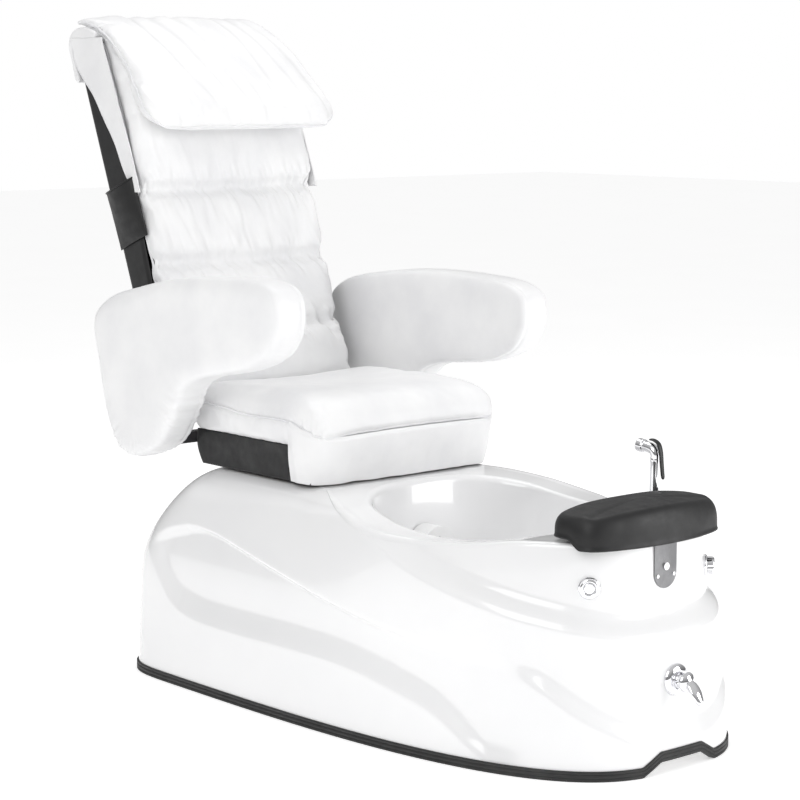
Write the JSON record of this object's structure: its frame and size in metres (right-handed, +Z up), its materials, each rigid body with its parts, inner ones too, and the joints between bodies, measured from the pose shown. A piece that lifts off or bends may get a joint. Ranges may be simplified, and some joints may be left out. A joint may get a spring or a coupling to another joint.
{
  "type": "pedicure spa chair",
  "caption": "Reclining massage seat with flip-up armrests on a moulded foot-spa base with basin, footrest, jet, mixer and hand sprayer.",
  "frame": {"origin": "on the floor under the middle of the whole chair", "axes": "+Z up; the chair faces -Y; X across, the mirror plane of seat and base is x = 0"},
  "size_m": [0.7426, 1.7296, 1.4358],
  "materials": {
    "white_leather": "satin, fine grain",
    "gelcoat": "high-gloss gelcoat",
    "black_rubber": "ribbed matte",
    "black_foam_skin": "satin moulded polyurethane",
    "black_shell": "satin",
    "black_vinyl": "satin",
    "chrome": "polished",
    "brushed_steel": "brushed",
    "painted_steel": "black powder coat",
    "zinc_steel": "zinc plated",
    "plywood": "raw",
    "grey_plastic": "moulded",
    "white_plastic": "moulded",
    "brass": "machined",
    "roller_rubber": "matte"
  },
  "bodies": {
    "base": {"air_switch_body": "chrome", "base_shell": "gelcoat", "bracket_screws": "chrome", "drain_control_body": "chrome", "drain_flange": "chrome", "drain_tailpiece": "white_plastic", "fixed_seat_rails": "zinc_steel", "floor_trim": "black_rubber", "foot_basin": "gelcoat", "footrest_bracket": "brushed_steel", "footrest_pad": "black_foam_skin", "jet_cover": "white_plastic", "jet_housing": "white_plastic", "leveling_feet": "black_rubber", "mixer_body": "brass", "mixer_plate": "chrome", "panel_screws": "chrome", "power_inlet": "grey_plastic", "rear_access_panel": "gelcoat", "seat_mount_plate": "painted_steel", "slide_actuator_body": "grey_plastic", "sprayer_socket": "chrome", "support_posts": "zinc_steel"},
    "seat": {"sliding_seat_rails": "zinc_steel", "slide_actuator_rod": "chrome", "seat_side_plates": "painted_steel", "seat_cross_tubes": "painted_steel", "seat_pan": "plywood", "seat_cushion": "white_leather", "side_skirts": "black_vinyl", "seat_apron": "white_leather", "armrest_brackets": "painted_steel", "recline_actuator": "grey_plastic"},
    "backrest": {"back_shell": "black_shell", "back_pad": "white_leather", "head_pillow": "white_leather", "back_frame_tubes": "painted_steel", "back_cross_bars": "painted_steel", "recline_arms": "painted_steel", "recline_lever": "painted_steel", "massage_rails": "zinc_steel", "handset_pocket": "black_vinyl"},
    "recline_rod": {"recline_rod": "chrome"},
    "left_armrest": {"left_armrest_pad": "white_leather", "left_armrest_core": "plywood"},
    "right_armrest": {"right_armrest_pad": "white_leather", "right_armrest_core": "plywood"},
    "massage_carriage": {"massage_carriage": "grey_plastic"},
    "roller_left_upper": {"massage_roller_left_upper": "roller_rubber"},
    "roller_left_lower": {"massage_roller_left_lower": "roller_rubber"},
    "roller_right_upper": {"massage_roller_right_upper": "roller_rubber"},
    "roller_right_lower": {"massage_roller_right_lower": "roller_rubber"},
    "air_switch_button": {"air_switch_button": "chrome"},
    "drain_knob": {"drain_knob": "chrome"},
    "drain_stopper": {"drain_stopper": "chrome"},
    "jet_impeller": {"jet_impeller": "white_plastic"},
    "mixer_collar": {"mixer_collar": "chrome"},
    "mixer_lever": {"mixer_lever": "chrome"},
    "sprayer": {"sprayer_body": "chrome"},
    "sprayer_lever": {"sprayer_lever": "black_shell"}
  },
  "joints": [
    {"name": "seat_slide", "type": "slide", "parent": "base", "child": "seat", "axis": [0, -1, 0], "range_m": [0, 0.1]},
    {"name": "back_recline", "type": "hinge", "parent": "seat", "child": "backrest", "pos_m": [0, 0.44857, 0.56], "axis": [-1, 0, 0], "range_deg": [0, 35]},
    {"name": "recline_rod_slide", "type": "slide", "parent": "seat", "child": "recline_rod", "axis": [0, -1, 0], "range_m": [0, 0.03929]},
    {"name": "left_armrest_flip", "type": "hinge", "parent": "seat", "child": "left_armrest", "pos_m": [0.285, 0.45857, 0.545], "axis": [-1, 0, 0], "range_deg": [0, 80]},
    {"name": "right_armrest_flip", "type": "hinge", "parent": "seat", "child": "right_armrest", "pos_m": [-0.285, 0.45857, 0.545], "axis": [-1, 0, 0], "range_deg": [-4.5, 75.5]},
    {"name": "massage_travel", "type": "slide", "parent": "backrest", "child": "massage_carriage", "axis": [0, 0.363, 0.9318], "range_m": [0, 0.28]},
    {"name": "roller_left_upper_spin", "type": "hinge", "parent": "massage_carriage", "child": "roller_left_upper", "pos_m": [0.07, 0.61878, 0.89489], "axis": [1, 0, 0], "continuous": true},
    {"name": "roller_left_lower_spin", "type": "hinge", "parent": "massage_carriage", "child": "roller_left_lower", "pos_m": [0.07, 0.58103, 0.79799], "axis": [1, 0, 0], "continuous": true},
    {"name": "roller_right_upper_spin", "type": "hinge", "parent": "massage_carriage", "child": "roller_right_upper", "pos_m": [-0.07, 0.61878, 0.89489], "axis": [1, 0, 0], "continuous": true},
    {"name": "roller_right_lower_spin", "type": "hinge", "parent": "massage_carriage", "child": "roller_right_lower", "pos_m": [-0.07, 0.58103, 0.79799], "axis": [1, 0, 0], "continuous": true},
    {"name": "air_switch_push", "type": "slide", "parent": "base", "child": "air_switch_button", "axis": [0.668, 0.7441, 0], "range_m": [0, 0.004], "stiffness_N_per_m": 900, "springref_m": -0.001},
    {"name": "drain_knob_turn", "type": "hinge", "parent": "base", "child": "drain_knob", "pos_m": [0.159, -0.72064, 0.356], "axis": [0.668, -0.7441, 0], "range_deg": [0, 125]},
    {"name": "drain_stopper_lift", "type": "slide", "parent": "base", "child": "drain_stopper", "axis": [0, 0, 1], "range_m": [0, 0.01]},
    {"name": "jet_spin", "type": "hinge", "parent": "base", "child": "jet_impeller", "pos_m": [0, -0.06343, 0.318], "axis": [0, 1, 0], "continuous": true},
    {"name": "mixer_turn", "type": "hinge", "parent": "base", "child": "mixer_collar", "pos_m": [0, -0.81176, 0.17], "axis": [0, -1, 0], "range_deg": [-45, 45]},
    {"name": "mixer_tilt", "type": "hinge", "parent": "mixer_collar", "child": "mixer_lever", "pos_m": [0, -0.81176, 0.17], "axis": [-1, 0, 0], "range_deg": [0, 20]},
    {"name": "sprayer_pull", "type": "slide", "parent": "base", "child": "sprayer", "axis": [0, 0, 1], "range_m": [0, 0.3]},
    {"name": "sprayer_lever_press", "type": "hinge", "parent": "sprayer", "child": "sprayer_lever", "pos_m": [0.128, -0.62943, 0.565], "axis": [-1, 0, 0], "range_deg": [0, 4.5], "stiffness_Nm_per_rad": 0.15, "springref_deg": -1.15}
  ],
  "couplings": [
    {"joint": "recline_rod_slide", "follows": "back_recline", "m_per_rad": 0.064},
    {"joint": "drain_knob_turn", "follows": "drain_stopper_lift", "rad_per_m": 209.44}
  ]
}
